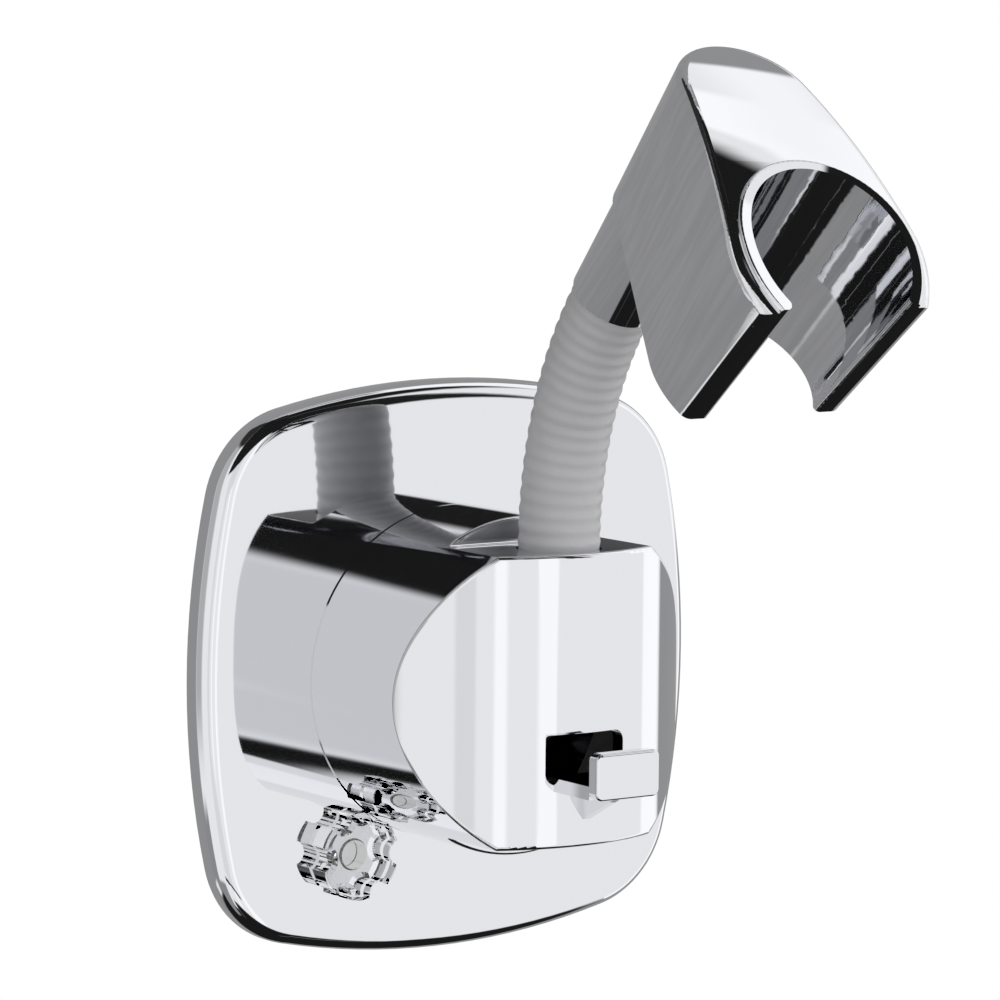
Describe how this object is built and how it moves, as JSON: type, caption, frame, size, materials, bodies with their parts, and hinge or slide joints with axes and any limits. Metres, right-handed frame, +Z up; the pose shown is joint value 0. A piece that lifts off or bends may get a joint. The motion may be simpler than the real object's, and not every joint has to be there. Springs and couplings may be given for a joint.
{
  "type": "hand shower holder",
  "caption": "Chromed wall holder for a hand shower: bowed square plate, drum with a small hook, bendable ribbed neck and an open tilted clip.",
  "frame": {"origin": "on the wall, at the middle of the bracket's back face, on the drum's axis", "axes": "+X to the right of a user who faces the wall, +Y into the wall, +Z up"},
  "size_m": [0.08, 0.0908, 0.1248],
  "materials": {
    "plate_chrome": "mirror chrome plating on moulded plastic",
    "drum_chrome": "mirror chrome plating on moulded plastic",
    "clip_chrome": "mirror chrome plating on moulded plastic",
    "sleeve_grey": "satin ribbed soft sleeve",
    "knob_clear": "clear moulded plastic",
    "bracket_nylon": "moulded, matt",
    "steel": "plain zinc plated"
  },
  "bodies": {
    "root": {"wall_plate": "plate_chrome", "wall_bracket": "bracket_nylon", "drum_screws": "steel", "drum_housing": "drum_chrome", "neck_anchor": "steel", "anchor_washer": "steel", "anchor_nut": "steel"},
    "neck": {"neck_core": "steel", "neck_sleeve": "sleeve_grey"},
    "clip": {"shower_clip": "clip_chrome", "neck_tip": "steel"},
    "knob": {"thumb_knob": "knob_clear"}
  },
  "joints": [
    {"name": "neck_bend", "type": "hinge", "parent": "root", "child": "neck", "pos_m": [0, -0.03033, 0.03163], "axis": [1, 0, 0], "range_deg": [-30, 35], "deforming": ["neck_core", "neck_sleeve"]},
    {"name": "neck_sway", "type": "hinge", "parent": "neck", "child": "clip", "pos_m": [0, -0.03432, 0.04316], "axis": [0, -0.8989, -0.4382], "range_deg": [-40, 40], "deforming": ["neck_core", "neck_sleeve"]},
    {"name": "knob_turn", "type": "hinge", "parent": "root", "child": "knob", "pos_m": [-0.01716, -0.007, -0.02362], "axis": [0, -1, 0], "continuous": true}
  ]
}
